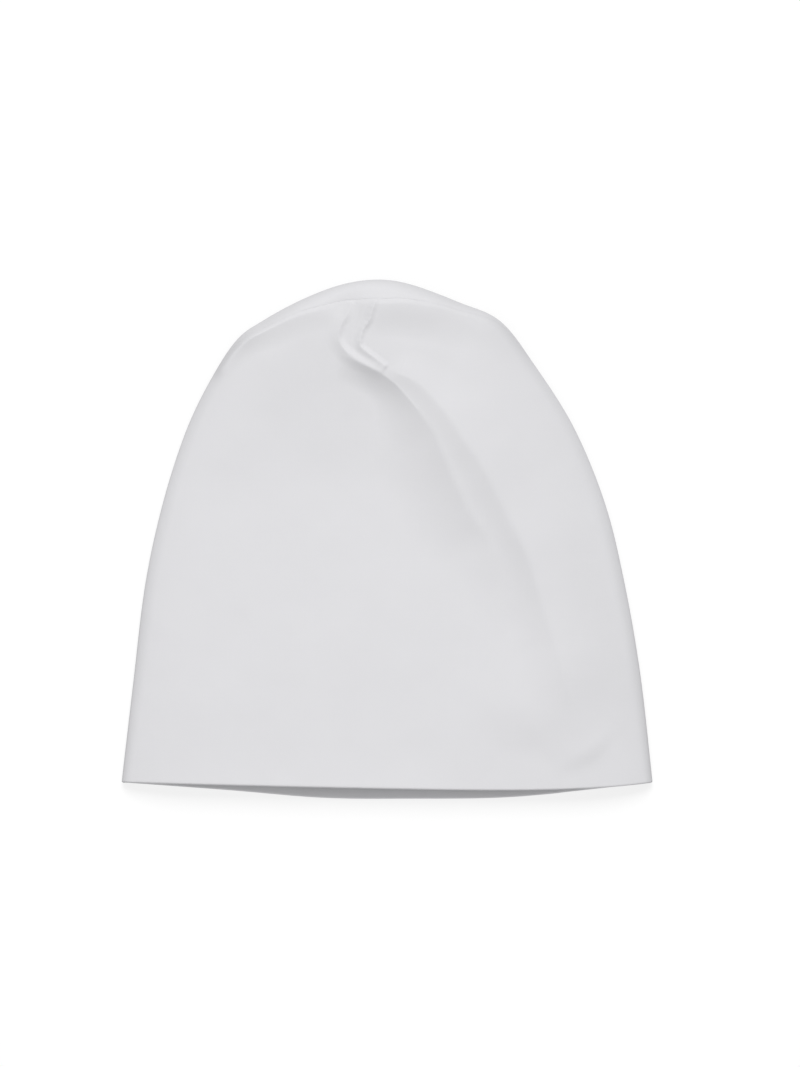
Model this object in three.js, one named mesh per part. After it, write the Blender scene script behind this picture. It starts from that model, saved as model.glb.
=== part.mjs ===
// A plain jersey beanie, laid flat on its back. It is made of two panels of doubled jersey. Each is one
// piece of cloth folded along the hem, with a dart in the middle of its crown, and the two are sewn
// together up the sides and over the crown. The back panel rolls over the crown onto the front, so the
// side seams lie in the edge, climb over it at the shoulders and cross the front below the crown.
//
// Millimetres: +X to the right as it is looked down on, +Y from the hem towards the crown, +Z up from
// the surface that it lies on. The origin is on that surface, under the middle of the outline.
//
// A panel's cloth is first laid out flat as a grid of places. Then it is rolled at the outline: what lies
// inside keeps its place, apart from what the roll takes up, and what the back panel has outside of the
// outline goes over the edge onto the front. Folds come from a table. That gives the outer face. The
// inner face lies one wall below it, and the fold of the hem and the edges in the seam join the two.

import * as THREE from "three";

// ---- driving sizes ---------------------------------------------------------------------------------
const WALL = 1.7; // two plies of jersey, one on the other
const SEAM_GAP = 0.6; // between the two panels where they are sewn
const HEM_NOSE = 0.6; // the fold of the hem stands this far out between its two faces
const UNDER_ROLL = 4.2; // the underside comes down to the surface this far in from the outline
const SLACK_REACH = 40; // what a roll takes up is shared out over this much of the cloth
const LOFT_REACH = 38; // the front reaches its full height this far in from the outline
const DOME = 3; // the power that its slope dies away with
const COLOUR = 0xe4e4e8;

// ---- the outline: up the left side, over the crown and down the right side -----------------------------
const LEFT_SIDE = [
  { x: -115.0, y: -104.4 },
  { x: -110.2, y: -62.9 },
  { x: -105.0, y: -19.5 },
  { x: -97.6, y: 15.2 },
  { x: -87.9, y: 46.0 },
  { x: -77.6, y: 68.0 },
];
const CROWN = [
  { x: -65.6, y: 86.7 },
  { x: -53.4, y: 95.7 },
  { x: -36.5, y: 104.7 },
  { x: -19.5, y: 111.0 },
  { x: -3.5, y: 113.1 },
  { x: 11.0, y: 110.8 },
  { x: 31.0, y: 103.4 },
  { x: 49.2, y: 95.1 },
];
const RIGHT_SIDE = [
  { x: 64.2, y: 75.9 },
  { x: 81.2, y: 48.8 },
  { x: 94.6, y: 16.0 },
  { x: 102.9, y: -18.0 },
  { x: 109.8, y: -58.0 },
  { x: 115.0, y: -104.4 },
];
// The two hems, between the corners where the outline starts and ends.
const FRONT_HEM = [
  { x: -85.0, y: -105.0 },
  { x: -20.0, y: -106.5 },
  { x: 48.0, y: -107.6 },
  { x: 90.0, y: -106.6 },
];
const BACK_HEM = [
  { x: -70.0, y: -107.6 },
  { x: -28.0, y: -111.0 },
  { x: 10.0, y: -111.4 },
  { x: 50.0, y: -110.9 },
  { x: 85.0, y: -107.9 },
];

// ---- the edge, round the outline -----------------------------------------------------------------------
// At a share of the way along the outline: the height of the edge, the width of the roll above it and
// the height that the roll reaches.
const EDGE = [
  { along: 0, height: 2.4, roll: 3.6, rim: 4.6 },
  { along: 0.09, height: 3, roll: 5, rim: 5.2 },
  { along: 0.26, height: 3.6, roll: 3.4, rim: 6.1 },
  { along: 0.34, height: 4.6, roll: 3, rim: 7 },
  { along: 0.39, height: 5, roll: 5.2, rim: 9.6 },
  { along: 0.43, height: 5.4, roll: 5.6, rim: 13.4 },
  { along: 0.49, height: 5.8, roll: 5.8, rim: 16.6 },
  { along: 0.545, height: 5.4, roll: 5.6, rim: 13.4 },
  { along: 0.59, height: 5, roll: 5.2, rim: 9.6 },
  { along: 0.64, height: 4.6, roll: 3, rim: 7 },
  { along: 0.72, height: 3.6, roll: 3.4, rim: 6.1 },
  { along: 0.91, height: 3, roll: 5, rim: 5.2 },
  { along: 1, height: 2.4, roll: 3.6, rim: 4.6 },
];
// How far over the edge the seam lies, measured on the cloth.
const SEAM = [
  { along: 0, over: 0 },
  { along: 0.28, over: 0 },
  { along: 0.32, over: 0.8 },
  { along: 0.345, over: 2 },
  { along: 0.37, over: 3.8 },
  { along: 0.42, over: 9.4 },
  { along: 0.455, over: 14 },
  { along: 0.497, over: 17.1 },
  { along: 0.53, over: 13.3 },
  { along: 0.56, over: 8.8 },
  { along: 0.605, over: 3.6 },
  { along: 0.64, over: 1.6 },
  { along: 0.66, over: 0.8 },
  { along: 0.7, over: 0 },
  { along: 1, over: 0 },
];
const LEFT_SHOULDER = 0.37; // share of the way along the outline
const RIGHT_SHOULDER = 0.605;
// The height of the front well in from the outline, from the hem to the crown.
const LOFT = [
  { y: -112, height: 9 },
  { y: -100, height: 9.3 },
  { y: -80, height: 9.8 },
  { y: -50, height: 10.4 },
  { y: 0, height: 10.8 },
  { y: 25, height: 11 },
  { y: 45, height: 12.2 },
  { y: 62, height: 13.8 },
  { y: 78, height: 15.7 },
  { y: 95, height: 17.8 },
  { y: 104, height: 18.1 },
  { y: 112, height: 18.2 },
];

// ---- folds of the front ------------------------------------------------------------------------------
// Each fold has a path on the front, or lies so far below the seam over the crown. It has heights at even
// steps along its path. For the left and the right of someone who walks the path, it has how far it
// spreads and how round its top is: 1 is a crease, 2 a soft swell. The plies of the dart's pleat fill it,
// so it shows on the outer face only.
const FOLDS = [
  {
    name: "bank_below_the_dart",
    path: [
      { x: -24, y: 80.4 },
      { x: -12.3, y: 76.2 },
      { x: -1.2, y: 70.4 },
      { x: 9.5, y: 60 },
      { x: 20, y: 46 },
      { x: 28, y: 28 },
      { x: 36.5, y: 10.5 },
      { x: 49, y: -12 },
      { x: 62, y: -50 },
    ],
    heights: [0, 2.9, 4.7, 5.8, 6.8, 7.2, 6.6, 5.2, 3.8, 2.6, 1.4, 0.5, 0],
    left: { spread: [36, 38, 40, 44, 50, 54, 56, 56, 54, 52, 48], top: [2.2, 2.2] },
    right: {
      spread: [14, 11, 14, 27, 31, 30, 27, 24, 22, 20, 19],
      top: [1.2, 1.1, 1.05, 1.05, 1.05, 1.1, 1.25, 1.4, 1.5],
    },
    filled: false,
  },
  {
    name: "long_crease",
    path: [
      { x: -1.7, y: 75.5 },
      { x: 9, y: 69.5 },
      { x: 18, y: 62.5 },
      { x: 34.5, y: 41 },
      { x: 48, y: 19 },
      { x: 53, y: 9 },
      { x: 67, y: -27 },
      { x: 78, y: -64 },
      { x: 87, y: -88 },
    ],
    heights: [0.4, 1.2, 1.8, 2.3, 2.6, 3, 3.5, 3.9, 4.1, 4.1, 3.6, 2.6, 1, 0],
    left: { spread: [10, 14, 18, 20, 24, 28, 30, 30, 30, 28, 24], top: [1.4, 1.5, 1.8, 2, 2] },
    right: { spread: [5, 8, 11, 12, 13, 14, 15, 17, 19, 19, 18], top: [1.25, 1.25, 1.2, 1.15, 1.1] },
    filled: false,
  },
  {
    name: "dent_by_the_hem",
    path: [
      { x: 96, y: -78 },
      { x: 92, y: -86 },
      { x: 84, y: -93 },
      { x: 70, y: -98.5 },
    ],
    heights: [0, 0.7, 0.7, 0],
    left: { spread: [7, 7], top: [1.5, 1.5] },
    right: { spread: [16, 16], top: [1.8, 1.8] },
    filled: false,
  },
  {
    name: "swell_right_of_the_hem",
    path: [
      { x: 30, y: -64 },
      { x: 50, y: -68 },
      { x: 70, y: -73 },
      { x: 90, y: -77 },
      { x: 106, y: -79 },
    ],
    heights: [0, 0.7, 1.5, 1.7, 1.2, 0.4, 0],
    left: { spread: [46, 46], top: [2, 2] },
    right: { spread: [24, 24], top: [2, 2] },
    filled: false,
  },
  {
    name: "lift_of_the_hem",
    path: [
      { x: -106, y: -107 },
      { x: -60, y: -108.5 },
      { x: -10, y: -109.5 },
      { x: 48, y: -110 },
    ],
    heights: [0, 0.6, 0.9, 0.9, 0.9, 0.5, 0],
    left: { spread: [20, 20], top: [1.1, 1.1] },
    right: { spread: [10, 10], top: [1.5, 1.5] },
    filled: false,
  },
  {
    name: "welt_below_the_crown_seam",
    belowSeam: 1.8,
    heights: [0, 2.4, 3.1, 2.5, 1.8, 1.1, -0.1, 2.4, 4, 3.9, 3, 2, 1, 0.3, 0],
    left: { spread: [6, 7, 12, 13, 8], top: [1.6, 1.6] },
    right: { spread: [6.5, 7.5, 9, 9, 14, 16, 15, 12, 9], top: [1.05, 1.05, 1.3, 1.3, 1] },
    filled: false,
  },
  {
    name: "dart_pleat",
    path: [
      { x: -11, y: 101 },
      { x: -15.5, y: 93 },
      { x: -16, y: 85 },
      { x: -9, y: 78 },
      { x: 2, y: 72 },
    ],
    heights: [0, 0.9, 1, 0.8, 0],
    left: { spread: [7, 7], top: [1.6, 1.6] },
    right: { spread: [6, 6], top: [1.6, 1.6] },
    filled: true,
  },
];
const FOLD_ENDS = 0.05; // a fold rises and dies away over this share of its path
const WELT_FROM = 0.33; // the welt's share of the way along the outline
const WELT_TO = 0.655;

// ---- grids -------------------------------------------------------------------------------------------
const EDGE_LINES = [0, 1.4, 3.0, 5.0, 7.5, 11]; // in from a side seam, where the roll needs close lines
// Even steps between those: as many `lines` as a row says, up to its share of the way.
const FRONT_ACROSS = [
  { to: 0.32, lines: 6 },
  { to: 0.62, lines: 15 },
  { to: 1, lines: 9 },
];
const BACK_ACROSS = [{ to: 1, lines: 16 }];
// Both panels have the same rows, so that the ends of the rows run side by side along the seam.
const UP = [
  { to: 0.76, lines: 14 },
  { to: 1, lines: 18 },
];
const OUTLINE_STEPS = 600;
const OUTLINE_MARKS = 150;
const FOLD_STEPS = 120;
const SHARE_BLUR = 3; // in steps of a line: how far the smooth share along it is blurred
const SHARE_SHARPNESS = 8; // and the power that its weights fall off with

// ---- small helpers -----------------------------------------------------------------------------------
const curveThrough = (rows) => new THREE.SplineCurve(rows.map(({ x, y }) => new THREE.Vector2(x, y)));

// The rows of a table as a smooth function of its key column.
function smoothTable(table, key) {
  const columns = Object.keys(table[0]).filter((column) => column !== key);
  const values = table.flatMap((row) => columns.map((column) => row[column]));
  const curve = new THREE.CubicInterpolant(table.map((row) => row[key]), values, columns.length);
  return (place) => {
    const row = curve.evaluate(place);
    return Object.fromEntries(columns.map((column, i) => [column, row[i]]));
  };
}

// The nearest place to a point on a line of places: its distance, its share of the way along, and on
// which side the point is of someone who walks the line: +1 to their left, -1 to their right.
function nearestOn(line, point) {
  let best = { distance: Infinity };
  for (let i = 0; i + 1 < line.length; i++) {
    const step = line[i + 1].clone().sub(line[i]);
    const reach = point.clone().sub(line[i]);
    const share = THREE.MathUtils.clamp(reach.dot(step) / step.lengthSq(), 0, 1);
    const place = line[i].clone().addScaledVector(step, share);
    const distance = place.distanceTo(point);
    if (distance < best.distance) {
      best = { distance, place, along: (i + share) / (line.length - 1), side: Math.sign(step.cross(reach)) };
    }
  }
  return best;
}

// The share of the way along a line that a point is nearest to, as an average over the line with weights
// that fall off fast with distance. Unlike the nearest place, it never jumps.
function smoothShare(line, point) {
  const blur = (SHARE_BLUR * line[0].distanceTo(line[1])) ** 2;
  const squares = line.map((place) => place.distanceToSquared(point) + blur);
  const nearest = Math.min(...squares);
  const weights = squares.map((square) => (nearest / square) ** SHARE_SHARPNESS);
  const total = weights.reduce((sum, weight) => sum + weight, 0);
  return weights.reduce((sum, weight, i) => sum + weight * i, 0) / (total * (line.length - 1));
}

// A list of values at even shares from 0 to 1 as a smooth function of the share.
function smoothList(values) {
  const at = smoothTable(values.map((value, i) => ({ along: i / (values.length - 1), value })), "along");
  return (along) => at(along).value;
}

// ---- the outline and the rolls ---------------------------------------------------------------------------
const outline = curveThrough([...LEFT_SIDE, ...CROWN, ...RIGHT_SIDE]);
const outlinePlaces = outline.getSpacedPoints(OUTLINE_STEPS);
const outlineMarks = outline.getSpacedPoints(OUTLINE_MARKS);
const edgeAt = smoothTable(EDGE, "along");
const seamAt = smoothTable(SEAM, "along");
const loftAt = smoothTable(LOFT, "y");

// The direction straight in from the outline at a share of the way along it.
function inwardAt(along) {
  const tangent = outline.getTangentAt(along);
  return new THREE.Vector2(tangent.y, -tangent.x);
}

// A place on the flat cloth: so far in from the outline at a share of the way along, or out if negative.
const offsetPlace = (along, distance) =>
  outline.getPointAt(along).addScaledVector(inwardAt(along), distance);

// A quarter round `width` wide and `height` high, followed for `length` on the cloth: how far in from
// the edge it has come, what share of the height it has climbed, and its angle, from 0 where it starts
// upright. Past its end the cloth runs level, and the slack that the roll took up fades out.
function rollOver(width, height, length) {
  const quarter = (Math.PI / 2) * Math.hypot(width, height) * Math.SQRT1_2;
  const angle = (Math.PI / 2) * Math.min(1, length / quarter);
  if (length < quarter) return { inward: width * (1 - Math.cos(angle)), climb: Math.sin(angle), angle };
  const slack = (quarter - width) * (1 - THREE.MathUtils.smoothstep(length, quarter, SLACK_REACH));
  return { inward: length - slack, climb: 1, angle };
}

// The direction that the roll faces where the seam crosses it. Both panels end square to the seam there.
function seamFacing(along) {
  const { height, roll, rim } = edgeAt(along);
  const { angle } = rollOver(roll, rim - height, Math.max(0, seamAt(along).over));
  const level = (rim - height) * Math.cos(angle);
  const inward = inwardAt(along);
  const facing = new THREE.Vector3(-inward.x * level, -inward.y * level, roll * Math.sin(angle));
  return facing.normalize();
}

// ---- the outer faces ---------------------------------------------------------------------------------
// The places so far below the seam over the crown, from shoulder to shoulder, as they lie after rolling.
function belowCrownSeam(beyond) {
  const places = [];
  for (let i = 0; i <= FOLD_STEPS; i++) {
    const along = THREE.MathUtils.lerp(WELT_FROM, WELT_TO, i / FOLD_STEPS);
    const { height, roll, rim } = edgeAt(along);
    const over = Math.max(seamAt(along).over, 0) + beyond;
    places.push(offsetPlace(along, rollOver(roll, rim - height, over).inward));
  }
  return places;
}

const smoothSide = ({ spread, top }) => ({ spreadAt: smoothList(spread), topAt: smoothList(top) });

const folds = FOLDS.map((fold) => ({
  filled: fold.filled,
  line: fold.path ? curveThrough(fold.path).getSpacedPoints(FOLD_STEPS) : belowCrownSeam(fold.belowSeam),
  crestAt: smoothList(fold.heights),
  left: smoothSide(fold.left),
  right: smoothSide(fold.right),
}));

// What a fold adds at a place: its crest's height there, falling off on either side to the square of
// 1 less the distance, as a share of the spread, to the power of its top.
function foldHeight(fold, place) {
  const near = nearestOn(fold.line, place);
  const along = smoothShare(fold.line, place);
  const { spreadAt, topAt } = near.side > 0 ? fold.left : fold.right;
  const reach = Math.min(1, near.distance / spreadAt(along));
  const toEnd = Math.min(near.along, 1 - near.along);
  const fade = THREE.MathUtils.smoothstep(toEnd, 0, FOLD_ENDS);
  return fold.crestAt(along) * fade * (1 - reach ** topAt(along)) ** 2;
}

// The height of the front over a place, at the given distance in from the outline: from the rim of the
// roll up to the loft, with the folds on top.
function frontHeight(place, inward) {
  const { rim } = edgeAt(smoothShare(outlineMarks, place));
  const climb = 1 - (1 - Math.min(1, inward / LOFT_REACH)) ** DOME;
  const raised = rim + (loftAt(place.y).height - rim) * climb;
  return folds.reduce((sum, fold) => sum + foldHeight(fold, place), raised);
}

// A point of an outer face from a place on the flat cloth, and the share of the way along the outline
// that it is nearest to. What is on top rolls up from the edge, and the rest rolls under to the surface.
function rolledPoint(flat, isOnTop) {
  const near = nearestOn(outlinePlaces, flat);
  const { height, roll, rim } = edgeAt(near.along);
  const onTop = isOnTop(near);
  const { inward, climb } = onTop
    ? rollOver(roll, rim - height, near.distance)
    : rollOver(UNDER_ROLL, height, near.distance);
  const rolled = near.place.clone().addScaledVector(inwardAt(near.along), inward);
  const place = near.distance < SLACK_REACH ? rolled : flat;
  const z = onTop ? height + (frontHeight(place, inward) - height) * climb : height * (1 - climb);
  return { point: new THREE.Vector3(place.x, place.y, z), along: near.along };
}

// All of the front's cloth is on top. The back's is too where it lies outside of the outline.
const frontPoint = (flat) => rolledPoint(flat, () => true);
const backPoint = (flat) => rolledPoint(flat, (near) => near.side > 0);

// ---- grids of places -----------------------------------------------------------------------------------
// Even shares from 0 to 1 by a table of `to` and `lines`.
function evenShares(table) {
  const shares = [0];
  for (const { to, lines } of table) {
    const from = shares[shares.length - 1];
    for (let i = 1; i <= lines; i++) shares.push(from + ((to - from) * i) / lines);
  }
  return shares;
}

// The shares across a width: close lines in from each side, and the table's between them.
function sharesAcross(width, across) {
  const left = EDGE_LINES.map((mm) => mm / width);
  const inner = left[left.length - 1];
  const middle = evenShares(across).map((share) => inner + (1 - 2 * inner) * share);
  const right = left.map((share) => 1 - share).reverse();
  return [...left.slice(0, -1), ...middle, ...right.slice(1)];
}

// The flat places of a panel, in rows from the hem up. The panel ends at the seam, less a share of the
// gap: `toSeam` gives its edge's distance in from the outline for the seam's distance over the edge.
function flatPlaces(hemRows, toSeam, up, across) {
  const seamPlace = (along) => offsetPlace(along, toSeam(seamAt(along).over));
  const left = (v) => seamPlace(LEFT_SHOULDER * v);
  const right = (v) => seamPlace(1 - (1 - RIGHT_SHOULDER) * v);
  const top = (u) => seamPlace(THREE.MathUtils.lerp(LEFT_SHOULDER, RIGHT_SHOULDER, u));
  const hem = curveThrough([left(0), ...hemRows, right(0)]);
  const inside = (u, v) => {
    const ruledUp = hem.getPointAt(u).lerp(top(u), v);
    const ruledAcross = left(v).lerp(right(v), u);
    const ends = left(0).lerp(right(0), u).lerp(left(1).lerp(right(1), u), v);
    return ruledUp.add(ruledAcross).sub(ends);
  };
  return evenShares(up).map((v) =>
    sharesAcross(left(v).distanceTo(right(v)), across).map((u) => inside(u, v)),
  );
}

// ---- walls -------------------------------------------------------------------------------------------
// The direction out of the outer face at a grid point: the roll's own at the seams, and worked out from
// the neighbours elsewhere.
function outwardAt(outer, i, j) {
  const [lastRow, lastColumn] = [outer.length - 1, outer[0].length - 1];
  if (i === lastRow || j === 0 || j === lastColumn) return seamFacing(outer[i][j].along);
  const across = outer[i][j + 1].point.clone().sub(outer[i][j - 1].point);
  const up = outer[i + 1][j].point.clone().sub(outer[Math.max(i - 1, 0)][j].point);
  return across.cross(up).normalize();
}

// A closed wall from the grid of its outer face, which is seen with its rows running up and its columns
// to the right. The cloth runs down the inner face, round the nose of the hem and up the outer face.
function foldedWall(outer, thicknessAt) {
  const outerFace = outer.map((row) => row.map(({ point }) => point));
  const innerFace = outerFace.map((row, i) =>
    row.map((point, j) => point.clone().addScaledVector(outwardAt(outer, i, j), -thicknessAt(point))),
  );
  const nose = outerFace[0].map((point, j) => {
    const middle = point.clone().lerp(innerFace[0][j], 0.5);
    return middle.setY(middle.y - HEM_NOSE);
  });
  const sheet = [...innerFace.reverse(), nose, ...outerFace];
  const columns = nose.length;
  const at = (i, j) => (i % sheet.length) * columns + j;
  const triangles = [];
  const addQuad = (a, b, c, d) => triangles.push(a, b, c, a, c, d);
  for (let i = 0; i < sheet.length; i++) {
    for (let j = 0; j + 1 < columns; j++) addQuad(at(i, j), at(i, j + 1), at(i + 1, j + 1), at(i + 1, j));
  }
  // The ends of the rows, rung by rung between the outer and the inner face, from the nose up.
  const fold = outer.length;
  for (const j of [0, columns - 1]) {
    const turned = (corners) => (j === 0 ? corners : corners.reverse());
    triangles.push(...turned([at(fold, j), at(fold + 1, j), at(fold - 1, j)]));
    for (let k = 1; k < fold; k++) {
      const rung = [at(fold + k, j), at(fold + k + 1, j), at(fold - k - 1, j), at(fold - k, j)];
      addQuad(...turned(rung));
    }
  }
  const geometry = new THREE.BufferGeometry();
  const positions = sheet.flat().flatMap((point) => point.toArray());
  geometry.setAttribute("position", new THREE.Float32BufferAttribute(positions, 3));
  geometry.setIndex(triangles);
  geometry.computeVertexNormals();
  return geometry;
}

// ---- the two panels ----------------------------------------------------------------------------------
function frontPanel() {
  const places = flatPlaces(FRONT_HEM, (over) => over + SEAM_GAP / 2, UP, FRONT_ACROSS);
  const outer = places.map((row) => row.map(frontPoint));
  const filled = folds.filter((fold) => fold.filled);
  const thicknessAt = ({ x, y }) =>
    WALL + filled.reduce((sum, fold) => sum + foldHeight(fold, new THREE.Vector2(x, y)), 0);
  return foldedWall(outer, thicknessAt);
}

// The back's outer face is seen from below, where its columns run the other way.
function backPanel() {
  const places = flatPlaces(BACK_HEM, (over) => SEAM_GAP / 2 - over, UP, BACK_ACROSS);
  const outer = places.map((row) => row.map(backPoint).reverse());
  return foldedWall(outer, () => WALL);
}

function piece(name, geometry) {
  const jersey = new THREE.MeshStandardMaterial({ color: COLOUR, roughness: 0.95, metalness: 0 });
  const mesh = new THREE.Mesh(geometry, jersey);
  mesh.name = name;
  return mesh;
}

export default new THREE.Group().add(
  piece("front_panel", frontPanel()),
  piece("back_panel", backPanel()),
);
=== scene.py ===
# %% [markdown]
# # A plain jersey beanie, laid flat
#
# The beanie is two panels of fine white jersey. Each panel is one long piece of cloth, folded double
# along the hem, with a dart in the middle of its crown. The two panels are sewn together up the sides
# and over the crown. It lies on its back, and its back panel rolls over the crown onto the front.
#
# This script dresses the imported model. It never moves it: the frame is loaded, and each panel of the
# frame is replaced by a finely shaped cloth of the same size in the same place.

# %% The frame
import math

import bpy
import numpy as np
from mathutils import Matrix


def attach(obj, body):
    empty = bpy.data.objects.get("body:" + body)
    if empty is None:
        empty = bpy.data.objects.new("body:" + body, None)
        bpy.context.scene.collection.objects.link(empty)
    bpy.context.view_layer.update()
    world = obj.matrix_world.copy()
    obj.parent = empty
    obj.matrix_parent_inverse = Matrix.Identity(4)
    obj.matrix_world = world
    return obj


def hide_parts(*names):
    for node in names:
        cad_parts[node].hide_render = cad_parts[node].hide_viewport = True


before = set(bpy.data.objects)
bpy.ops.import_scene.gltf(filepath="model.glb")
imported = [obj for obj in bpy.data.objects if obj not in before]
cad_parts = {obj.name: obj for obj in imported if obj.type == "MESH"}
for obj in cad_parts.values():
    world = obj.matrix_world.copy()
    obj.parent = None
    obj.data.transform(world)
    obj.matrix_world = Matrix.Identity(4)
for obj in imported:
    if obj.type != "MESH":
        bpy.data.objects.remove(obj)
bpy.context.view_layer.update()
print("frame:", sorted(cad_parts))

# %% [markdown]
# ## The outline
#
# Laid flat, the beanie has the outline of a bell: two long sides that lean in, and a low crown. It is
# drawn as a pattern is, with one smooth line through a few points. The line is made of cubic pieces.
# Each piece leaves its point in the direction from the point before to the one after, so the line has
# no corners and still goes through every point.
#
# Lengths are in millimetres while the cloth is shaped, as a pattern cutter has them, and they turn to
# metres only when a mesh is made.

# %% A smooth line through points
MM = 0.001  # metres
PIECE_STEPS = 64  # steps from one point of a line to the next, before they are made even


def interpolate(wanted, known, rows):
    """Rows of an array at wanted places, straight between the places at which its rows are known."""
    return np.stack([np.interp(wanted, known, column) for column in rows.T], axis=-1)


def curve_through(points, steps):
    """Places at even steps along a smooth line through the points, by Catmull-Rom cubics."""
    p = np.asarray(points, float)
    before, start, end, after = (np.vstack([p[:1], p, p[-1:]])[i : len(p) - 1 + i] for i in range(4))
    t = np.linspace(0, 1, PIECE_STEPS + 1)[:-1, None, None]
    leave, arrive = (end - before) / 2, (after - start) / 2
    pieces = (
        start
        + leave * t
        + (3 * (end - start) - 2 * leave - arrive) * t**2
        + (2 * (start - end) + leave + arrive) * t**3
    )
    line = np.vstack([pieces.transpose(1, 0, 2).reshape(-1, 2), p[-1:]])
    length = np.concatenate([[0], np.cumsum(np.linalg.norm(np.diff(line, axis=0), axis=1))])
    return interpolate(np.linspace(0, length[-1], steps + 1), length, line)


def line_length(line):
    """The length of a line of points: the sum of its steps."""
    return np.linalg.norm(np.diff(line, axis=0), axis=1).sum()


def unit(vectors):
    """Vectors divided by their own lengths."""
    return vectors / np.linalg.norm(vectors, axis=-1, keepdims=True)


print("round a corner, halfway:", curve_through([(0, 0), (10, 0), (10, 10)], 2)[1].round(1).tolist())

# %% The outline, and places measured in from it
OUTLINE_STEPS = 900

# Up the left side, over the crown and down the right side.
OUTLINE = [
    (-115.0, -104.4), (-110.2, -62.9), (-105.0, -19.5), (-97.6, 15.2), (-87.9, 46.0), (-77.6, 68.0),
    (-65.6, 86.7), (-53.4, 95.7), (-36.5, 104.7), (-19.5, 111.0), (-3.5, 113.1), (11.0, 110.8),
    (31.0, 103.4), (49.2, 95.1), (64.2, 75.9), (81.2, 48.8), (94.6, 16.0), (102.9, -18.0),
    (109.8, -58.0), (115.0, -104.4),
]

outline = curve_through(OUTLINE, OUTLINE_STEPS)
outline_shares = np.linspace(0, 1, len(outline))
tangents = unit(np.gradient(outline, axis=0))
inwards = np.column_stack([tangents[:, 1], -tangents[:, 0]])


def offset_place(along, distance):
    """A place on the flat cloth: so far in from the outline at a share of the way along it."""
    start, inward = (interpolate(along, outline_shares, rows) for rows in (outline, inwards))
    return start + inward * np.asarray(distance)[..., None]


print("outline:", round(float(line_length(outline)), 1), "mm long")

# %% [markdown]
# ## How high the cloth lies
#
# On a table the cloth's edge floats a little above the surface, the front rises from it in a tight roll,
# and from the roll it swells gently up to its full height, most of all at the crown. These heights are
# short tables. A simulation could give them, but a hand has smoothed this beanie, so they are given as
# a few numbers, joined by cubics that have no corners.

# %% Smooth tables


def smooth(table, at):
    """The value columns of a table at places of its first column, by Hermite cubics whose slope at a
    row is that between the rows on either side of it."""
    x, y = np.asarray(table, float)[:, 0], np.asarray(table, float)[:, 1:]
    inner = (y[2:] - y[:-2]) / (x[2:] - x[:-2])[:, None]
    slope = np.vstack([[(y[1] - y[0]) / (x[1] - x[0])], inner, [(y[-1] - y[-2]) / (x[-1] - x[-2])]])
    at = np.clip(at, x[0], x[-1])
    i = np.clip(np.searchsorted(x, at, "right") - 1, 0, len(x) - 2)
    h = (x[i + 1] - x[i])[..., None]
    s = ((at - x[i]) / (x[i + 1] - x[i]))[..., None]
    value = (
        (1 + 2 * s) * (1 - s) ** 2 * y[i]
        + s * (1 - s) ** 2 * h * slope[i]
        + s**2 * (3 - 2 * s) * y[i + 1]
        + s**2 * (s - 1) * h * slope[i + 1]
    )
    return np.moveaxis(value, -1, 0)


def smoothstep(x, low, high):
    """0 below `low`, 1 above `high`, and a level-ended cubic between them."""
    t = np.clip((x - low) / (high - low), 0, 1)
    return t * t * (3 - 2 * t)


print("a table of 0, 1, 0 at its first quarter:", smooth([(0, 0), (0.5, 1), (1, 0)], 0.25).round(2))

# %% Heights at the edge, in the seam and over the body

# Share of the way along the outline: height of the edge, width of the roll above it, height it reaches.
EDGE = [
    (0, 2.4, 3.6, 4.6),
    (0.09, 3.0, 5.0, 5.2),
    (0.26, 3.8, 5.4, 5.9),
    (0.34, 4.6, 5.0, 7.0),
    (0.39, 5.0, 5.2, 9.6),
    (0.43, 5.4, 5.6, 13.4),
    (0.49, 5.8, 5.8, 16.6),
    (0.545, 5.4, 5.6, 13.4),
    (0.59, 5.0, 5.2, 9.6),
    (0.64, 4.6, 5.0, 7.0),
    (0.72, 3.8, 5.4, 5.9),
    (0.91, 3.0, 5.0, 5.2),
    (1, 2.4, 3.6, 4.6),
]

# Share of the way along: how far over the edge the seam lies, measured on the cloth.
SEAM = [
    (0, 0), (0.28, 0), (0.32, 0.8), (0.345, 2.0), (0.37, 3.8), (0.42, 9.4), (0.455, 14.0),
    (0.497, 17.1), (0.53, 13.3), (0.56, 8.8), (0.605, 3.6), (0.64, 1.6), (0.66, 0.8), (0.7, 0), (1, 0),
]

# Place from the hem to the crown: height of the front well in from the outline.
LOFT = [
    (-112, 9.0), (-100, 9.3), (-80, 9.8), (-50, 10.4), (0, 10.8), (25, 11.0), (45, 12.2), (62, 13.8),
    (78, 15.7), (95, 17.8), (104, 18.1), (112, 18.2),
]
LOFT_REACH = 38.0  # the front reaches its full height this far in from the outline
DOME = 3.0  # the power that its slope dies away with: more keeps the slope nearer the outline

print("roll at the crown:", smooth(EDGE, 0.5).round(1), "mm: edge, width, top")

# %% [markdown]
# ## Rolling the cloth over the outline
#
# The cloth is first laid out flat. What lies within the outline keeps its place, apart from what the
# roll at the edge takes up, and what the back panel has outside of it goes over the edge to the front.
# The roll is a quarter round. Cloth that follows it comes less far in than its own length, and that slack
# is shared out over the cloth beside it, so that nothing bunches up.

# %% Rolling
UNDER_ROLL = 4.2  # the underside comes down to the surface this far in from the outline
SLACK_REACH = 40.0  # what a roll takes up is shared out over this much of the cloth


def quarter_length(width, height):
    """About how much cloth a quarter round takes: pi / 2 times the root mean square of its two radii."""
    return (np.pi / 2) * np.hypot(width, height) * math.sqrt(0.5)


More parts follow.
